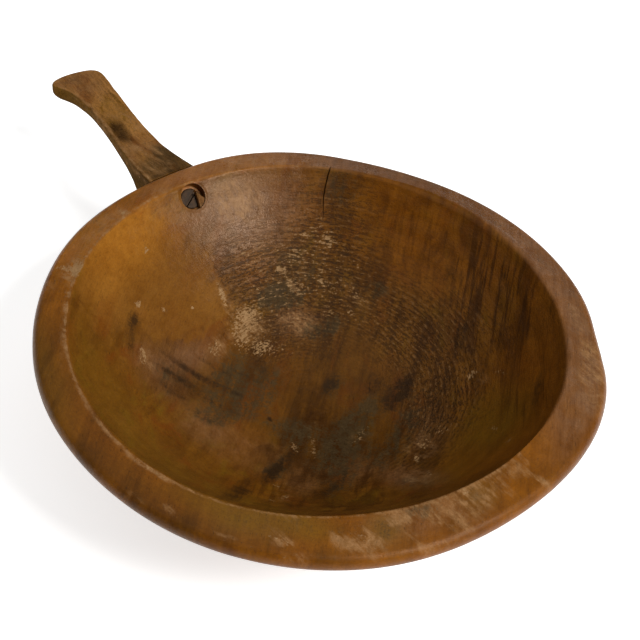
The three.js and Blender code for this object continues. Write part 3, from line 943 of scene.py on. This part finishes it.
# Pinkish worn places. The first spot, at (102, -20), is a painted highlight on the far wall.
ROSE_SPOTS = [
    (102, -20, 34, 13, 78, 100), (44, -23, 12, 8, 58, 80), (-87, 2, 13, 9, 10, 85), (-70, 2, 10, 8, 0, 30),
    (50, 40, 16, 10, -60, 80), (40, 66, 16, 11, -20, 60), (0, 62, 16, 12, 0, 50), (-25, 50, 16, 14, 0, 35),
    (108, 25, 16, 8, 90, 40), (-52, 40, 14, 9, -40, 40), (-60, -30, 18, 10, -40, 30),
    (-56.5, 15.5, 13, 10, -50, 50), (92, 2, 12, 8, 90, 12),
]
DULL_SPOTS = [
    (-24, -104, 50, 14, -8, 35), (-14, 22, 18, 12, 58, 50), (81, -3, 9, 14, 75, 75),
    (0, -4, 50, 42, -30, 90), (45, -35, 46, 34, -40, 70), (-35, 15, 40, 30, -40, 75),
    (0, -64, 50, 26, 0, 60), (-45, -35, 40, 22, -40, 60), (35, 50, 22, 18, 20, 60),
    (84, -74, 12, 10, 50, 40), (-75, 60, 34, 14, -55, 50),
]
ORANGE_SPOTS = [(-84, -58, 14, 30, -40, 90), (20, -94, 34, 8, 10, 60), (-58, 66, 10, 12, 0, 30)]
# Places on the wall and rim near the handle, made lighter as painted light.
FAIR_SPOTS = [(109, 48, 34, 15, -66, 95), (86, 74, 18, 10, -48, 30)]
CLEAN_SPOTS = [(88, 50, 46, 32, 70, 100), (40, 98, 56, 20, -14, 38), (-30, 100, 40, 16, 16, 30)]
WARM_SPOTS = [
    (-60, -92, 60, 18, -50, 85), (-100, -40, 44, 18, -70, 95), (30, -100, 60, 16, 12, 85),
    (94, -52, 22, 10, 55, 70), (40, -78, 24, 8, 20, 60), (-8, 40, 30, 10, -50, 50),
    (-50, 66, 16, 10, -50, 40), (10, 2, 30, 6, -50, 40), (-6, -46, 16, 4, -60, 40),
    (80, -12, 16, 6, 80, 50),
]
OCHRE_SPOTS = [
    (-84, -46, 24, 15, -62, 85), (-50, 96, 40, 13, 28, 45), (14, 106, 44, 11, -6, 40),
    (-98, -8, 14, 10, 80, 40),
]
MARK_SPOTS = [
    (60, -45, 42, 26, -50, 100), (0, -66, 40, 20, 0, 80), (-50, -46, 27, 17, -50, 95),
    (75, -12, 20, 18, 80, 85), (45, 2, 16, 12, 0, 50), (-70, -10, 16, 14, 0, 50), (34, 58, 12, 12, 0, 30),
    (-60, 30, 20, 26, 40, 25), (-20, -90, 24, 8, 0, 40),
]
FIGURE_SPOTS = [
    (-30, -98, 60, 16, -10, 50), (-75, 40, 60, 26, -62, 60), (-30, 0, 50, 30, -45, 50),
    (-80, -20, 30, 24, -60, 15), (-10, -70, 50, 20, 0, 35), (20, 30, 24, 20, -50, 40),
    (60, -60, 26, 14, 40, 30),
]
THREAD_SPOTS = [
    (-20, -104, 46, 17, -12, 95), (-84, -70, 24, 14, -45, 70), (-58, 70, 36, 16, -55, 55),
    (-58, 10, 40, 22, -50, 35), (-20, -84, 24, 12, -10, 50), (-30, -30, 30, 14, -60, 30),
    (40, -96, 26, 12, 20, 40), (30, 60, 18, 14, 40, 25),
]

# On the rim. Where the inner edge is worn widest, it is painted as worn over this many mm more.
WEAR_PAINTED = 3.4
RIM_BARE_SPOTS = [
    (-119, 58, 6, 2, 20, 25), (-101, 88.5, 6, 1.6, 25, 25), (-41, 116.8, 12, 1, 20, 15),
    (88.5, 85, 5, 2.8, -45, 100), (94, 90, 4, 2, 45, 40), (-131.5, -27.5, 3, 1, 20, 40),
    (116, 44, 2, 1.4, 0, 70), (60, 106, 26, 1.2, -30, 20), (104, -62, 6, 1.4, 60, 30),
    (-83, -104, 3, 1.4, 0, 40), (-121, 7.5, 1.6, 1.2, 0, 50),
]
# Worn places, and a painted highlight along the rim's inner edge on the lit side and along its outer edge.
RIM_PALE_SPOTS = [
    (-101, 88.5, 5, 2, 50, 80), (-96.5, 88.5, 5, 2, 15, 50), (-95.5, 81, 5, 1.8, 15, 50),
    (-86.5, 106, 6, 1, 40, 45), (-109.5, 86.5, 5, 2.4, 50, 30), (-61.5, 119.5, 4, 1.6, 15, 55),
    (-46.5, 129.5, 7, 1.5, 25, 30), (-41, 116.8, 14, 1.3, 20, 60), (-115.5, 67.5, 6, 3, 45, 50),
    (-119, 55.5, 7, 2.4, 15, 80), (-118.5, 61.5, 7, 2.6, 20, 75), (-112, 68, 5, 2, 15, 60),
    (-118.5, 38, 8, 3.4, 75, 60), (-117, 43.5, 4, 2.4, 60, 55), (-127, 40.5, 7, 2, 20, 50),
    (-127.5, 24.5, 6, 1.8, 15, 70), (-132, 18, 6, 1.8, 15, 65), (-124, 29, 5, 1.6, 15, 50),
    (-121, 7.5, 2.4, 1.8, 0, 95), (-124.5, 0, 6, 5, 0, 60), (-131.5, -27.5, 5, 1.5, 20, 80),
    (-122.5, -24.5, 6, 5, 20, 50), (-135.5, 32, 14, 2, 76, 20), (89, 86, 9, 5, -45, 85),
    (0, 122, 20, 2, 0, 30), (-66, -114, 18, 5, -27, 30), (104, -62, 8, 3, 60, 40),
    (60, 106, 30, 2, -30, 35), (116, 44, 4, 3, 0, 40), (-98, -92, 20, 8, -45, 50), (-127, 10, 9, 5, 60, 50),
    (-84, -104, 6, 4, -30, 45), (-122, 22, 9, 4, 15, 40), (-127, 12, 8, 3, 15, 45),
    (-127, -9, 9, 3, 15, 45), (-121, -15, 7, 3, 20, 40), (124, -38, 16, 6, 70, 35),
    (112, 58, 22, 7, -62, 35), (124, 24, 14, 6, -80, 30), (86, 100, 14, 6, -50, 25),
]
# Painted sheen on the rim, over pinkish worn wood.
RIM_ROSE_SPOTS = [
    (118, -58, 30, 16, 66, 70), (0, -128, 90, 20, 0, 95), (96, -86, 50, 20, 45, 95),
    (-94, -90, 54, 20, -45, 100), (128, -30, 30, 18, 75, 80), (128, 15, 16, 12, 90, 50),
    (-118, 48, 9, 7, 65, 70), (-121, 36, 10, 7, 75, 50), (-124, 14, 16, 12, 85, 45),
    (-86, 92, 18, 8, 48, 35), (112, 62, 28, 12, -62, 45),
]
RIM_DULL_SPOTS = [
    (-36, 132, 36, 8, 14, 60), (36, 131, 34, 7, -14, 50), (86, 106, 20, 7, -50, 30),
    (-80, 112, 20, 6, 42, 50), (-110, 64, 5, 4, 55, 40), (-118, 76, 9, 5, 50, 55),
    (60, 118, 22, 8, -28, 35),
]
RIM_OCHRE_SPOTS = [
    (-85, 92, 18, 8, 48, 75), (-100, 77, 11, 6, 50, 70), (-118, 49, 7, 6, 65, 70), (-124, 3, 8, 7, 90, 50),
    (30, 130, 40, 8, -14, 40), (-70, 104, 20, 5, 36, 50),
]
RIM_SLATE_SPOTS = [
    (-84, 93, 16, 7, 48, 30), (-100, 77, 9, 5, 50, 28), (-110.5, 64, 5, 3, 55, 30),
    (-118, 48, 6, 5, 65, 45), (-124, 4, 8, 6, 90, 35), (-118.5, 31, 9, 5, 80, 60),
    (60, -118, 18, 5, 27, 35), (-20, -130, 16, 5, -10, 30), (20, -126, 14, 4, 10, 35),
]
RIM_SOOT_SPOTS = [(-60, -121, 18, 1.8, -27, 30), (30, -123, 12, 1.5, 12, 30), (110, 60, 5, 1.6, -60, 30)]


def paint_bowl(piece):
    points = points_of(piece)
    x, y, z = points.T
    radius = np.hypot(x, y)
    angle = np.arctan2(y, x)
    inside, shift, _ = rim_profile(angle)
    nominal = radius / (1 + (inside - RIM_INNER_RADIUS) / RIM_INNER_RADIUS)
    past_edge = smoothstep(radius - inside - WEAR_PAINTED * far_wear(angle), -1.4, 0.9)
    hollow = (1 - past_edge) * (z > hollow_height(np.minimum(nominal, RIM_INNER_RADIUS)) - 4.5)
    rim = past_edge * smoothstep(z, 57.5, 62.5)
    outside = np.clip(1 - hollow - rim, 0, 1)
    slow = cloud(points, 45, 11)
    # Painted highlight: a pale line along the rim's inner edge, on the side that faces the light.
    lit_side = smoothstep(y, -50, 10)
    near_edge = np.exp(-((radius - inside - 0.5) / 1.1) ** 2) * rim * lit_side
    outer_edge = np.exp(-((radius - RIM_OUTER_RADIUS - shift + 2.2) / 2.2) ** 2) * rim
    foot = (z < 0.8) * outside
    by_handle = smoothstep(x, 45, 100)
    # Painted shade: the rim's outer round and the top of the outer wall are darkened on the side that faces
    # away from the light.
    dark_side = smoothstep(y, 70, 105)
    sooty_edge = dark_side * (outer_edge * 0.12 + outside * 0.42 * smoothstep(z, 46, 58))
    dull = blots(points, DULL_SPOTS) * (1 - blots(points, ORANGE_SPOTS))

    def spots(in_hollow, on_rim=()):
        return hollow * blots(points, in_hollow) + rim * blots(points, on_rim)

    set_masks(
        piece,
        slate=spots(SLATE_SPOTS, RIM_SLATE_SPOTS) + outside * (0.15 + 0.3 * slow) + foot * 0.2,
        # Stains, and the painted shade on the outer edge.
        soot=spots(SOOT_SPOTS, RIM_SOOT_SPOTS) + outside * (0.05 + 0.25 * cloud(points, 26, 12)) + sooty_edge,
        # On the rim, the inner-edge and outer-edge terms below are painted highlight, over bare and rubbed
        # wood.
        bare=spots(BARE_SPOTS, RIM_BARE_SPOTS) + 0.12 * near_edge * rim + outside * 0.05 + foot * 0.2
        + outer_edge * 0.05,
        pale=hollow * 0.8 * blots(points, PALE_SPOTS) + outside * 0.1 + outer_edge * 0.12
        + rim * (blots(points, RIM_PALE_SPOTS) + 0.7 * near_edge),
        # Pinkish worn wood, with painted sheen on the rim and a painted highlight on the far wall.
        rose=hollow * blots(points, ROSE_SPOTS) + rim * (1 - 0.7 * outer_edge) * blots(points, RIM_ROSE_SPOTS)
        + outside * (0.25 + 0.4 * slow),
        warm=spots(WARM_SPOTS) + rim * (0.9 - 0.3 * by_handle) + outside * 0.2,
        dull=hollow * dull + rim * (0.05 + 0.2 * slow + blots(points, RIM_DULL_SPOTS))
        + outside * (0.3 + 0.4 * cloud(points, 50, 13)),
        marks=hollow * (0.12 + blots(points, MARK_SPOTS)) + rim * 0.12 + outside * 0.3,
        threads=spots(THREAD_SPOTS) + rim * 0.12 + outside * 0.2,
        figure=hollow * (0.2 + blots(points, FIGURE_SPOTS)) + rim * 0.1 + outside * 0.5,
        clean=spots(CLEAN_SPOTS),
        ochre=spots(OCHRE_SPOTS, RIM_OCHRE_SPOTS),
        # Painted light: lighter near the handle, where the rim faces away from the light, and in a few places
        # on the wall.
        fair=spots(FAIR_SPOTS) + rim * 0.85 * by_handle * smoothstep(y, -95, -30) + outside * 0.1,
        dry=outside * 0.6 + outer_edge * 0.2,
    )
    dress(piece, wood("bowl_wood", BOWL_CLEAN, -GRAIN_DIRECTION, True, 0.22, 2.4, 0.22))


HANDLE_SLATE_SPOTS = [
    (145, 0, 15, 30, 0, 68), (150, -5, 11, 10, 0, 30), (160, -4, 8, 5, 0, 60), (189, 6, 12, 7, -10, 35),
    (251, 6, 7, 10, 0, 35),
]
HANDLE_SOOT_SPOTS = [
    (188, 7, 10, 5, 0, 62), (181, 9, 6, 4, 30, 42), (195, 5, 7, 4, -30, 40), (218, 10.4, 2, 1.6, 0, 70),
    (139.5, 3, 1.8, 14, 0, 50), (225, -7, 6, 2, 20, 45), (206, 8, 6, 2, 10, 30),
]
HANDLE_BARE_SPOTS = [
    (166, 6, 8, 3, 0, 20), (180, -4, 18, 3, 0, 20), (206, -2, 16, 6, 0, 14), (240, -4, 10, 4, 0, 15),
]
HANDLE_PALE_SPOTS = [
    (149, 4, 13, 10, 0, 45), (168, 4, 12, 8, 0, 45), (188, -5, 24, 3, 0, 45), (236, 0, 14, 8, 0, 35),
    (208, 2, 14, 7, 0, 35),
]
HANDLE_ROSE_SPOTS = [
    (146, 4, 16, 16, 0, 55), (168, 3, 13, 14, 0, 50), (240, 4, 16, 14, 0, 45), (250, 6, 9, 14, 0, 50),
]
HANDLE_DULL_SPOTS = [
    (146, 2, 14, 20, 0, 40), (187, 7, 14, 6, -10, 45), (197, 4, 8, 5, 0, 20), (178, 9, 8, 5, 0, 30),
]
HANDLE_OCHRE_SPOTS = [(206, 0, 14, 9, 0, 30), (158, 8, 10, 5, 0, 30)]


def paint_handle(piece):
    points = points_of(piece)
    along, across, height = points.T
    up = facing_up(piece)
    top = smoothstep(up, 0.45, 0.85)
    side = 1 - top
    under = smoothstep(up, 0.1, -0.5)
    drift = cloud(points, 22, 21)
    # Painted highlight: a pale line along the top's left edge. The tip's top edge is painted pale as well.
    from_left = smooth_line(HANDLE_LEFT)(along) - across
    left_edge = np.exp(-((from_left - 1.1) / 1.2) ** 2) * (height > 58) * smoothstep(along, 128, 140)
    left_edge *= 0.5 + 0.5 * smoothstep(along, 250, 205)
    tip_edge = np.exp(-((HANDLE_LEFT[-1][0] - along - 2.5) / 1.8) ** 2) * top
    worn_edge = left_edge * (0.95 + 0.3 * cloud(points, 6, 23)) + tip_edge * 0.5
    near_bowl = smoothstep(along, 190, 150)
    side_soot = 0.3 + 0.2 * cloud(points, 14, 22) + 0.2 * near_bowl
    side_dull = 0.45 + 0.2 * drift + 0.15 * near_bowl

    def spots(on_top):
        return top * blots(points, on_top)

    set_masks(
        piece,
        slate=spots(HANDLE_SLATE_SPOTS) + side * 0.08 * drift,
        soot=spots(HANDLE_SOOT_SPOTS) + side * side_soot + under * 0.1,
        # Worn spots, and the painted highlight along the top's left edge.
        bare=spots(HANDLE_BARE_SPOTS) + worn_edge * 0.3,
        pale=spots(HANDLE_PALE_SPOTS) + worn_edge * 0.9,
        rose=spots(HANDLE_ROSE_SPOTS),
        warm=top * 0.15,
        dull=spots(HANDLE_DULL_SPOTS) + side * side_dull + under * 0.3,
        ochre=spots(HANDLE_OCHRE_SPOTS) + side * 0.85,
        marks=0.35,
        threads=0.2,
        figure=0.12,
        clean=0,
        fair=0,
        dry=side,
    )
    dress(piece, wood("handle_wood", HANDLE_CLEAN, 0, False, 0.03, 0.7, 0.38))


def paint_plug(piece):
    set_masks(piece, slate=0.25, soot=0.1, bare=0.2, pale=0.3, rose=0.6, warm=0, dull=0.4, ochre=0, marks=0.4,
              threads=0.2, figure=0.3, clean=0, fair=0, dry=0.6)
    dress(piece, wood("plug_wood", HANDLE_CLEAN, 30, False, 0.05, 2.4, 0.3))


# ---- build ----

bowl = make_bowl()
handle = make_handle()
screw = make_screw()
plug = make_plug()
paint_bowl(bowl)
paint_handle(handle)
dress(screw, old_steel())
paint_plug(plug)

for piece, node, slot in ((bowl, "bowl", "bowl_wood"), (handle, "handle", "handle_wood"),
                          (screw, "handle_screw", "screw_steel"), (plug, "plug_remnant", "plug_wood")):
    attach(piece, "root")
    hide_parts(node)

# ---- floor and light ----

FLOOR_HALF = 6
FLOOR_BELOW = 0.0005
floor_mesh = bpy.data.meshes.new("floor")
corners = [(x * FLOOR_HALF, y * FLOOR_HALF, 0) for x, y in ((-1, -1), (1, -1), (1, 1), (-1, 1))]
floor_mesh.from_pydata(corners, [], [(0, 1, 2, 3)])
floor = as_object("floor", floor_mesh)
floor.location.z = -FLOOR_BELOW
floor_mesh.materials.append(plain_floor())


def area_light(name, towards, distance, width, depth, watts):
    """A soft rectangular light in a direction from the bowl, facing it."""
    data = bpy.data.lights.new(name, "AREA")
    data.shape = "RECTANGLE"
    data.size, data.size_y = width, depth
    data.energy = watts
    light = bpy.data.objects.new(name, data)
    direction = Vector(towards).normalized()
    light.location = direction * distance + Vector((0, 0, 0.05))
    light.rotation_euler = direction.to_track_quat("Z", "Y").to_euler()
    light.visible_camera = False
    scene.collection.objects.link(light)


area_light("key", (-0.65, -0.25, 0.72), 3.0, 1.0, 1.0, 82)
area_light("top", (0.3, 0.15, 0.95), 2.0, 2.6, 2.6, 13)
area_light("back", (0.285, -0.78, 0.559), 2.0, 1.0, 0.9, 1.5)

WORLD_LIGHT = 0.06
world = bpy.data.worlds.new("studio")
world.use_nodes = True
world.node_tree.nodes["Background"].inputs["Color"].default_value = (1, 1, 1, 1)
world.node_tree.nodes["Background"].inputs["Strength"].default_value = WORLD_LIGHT
scene.world = world
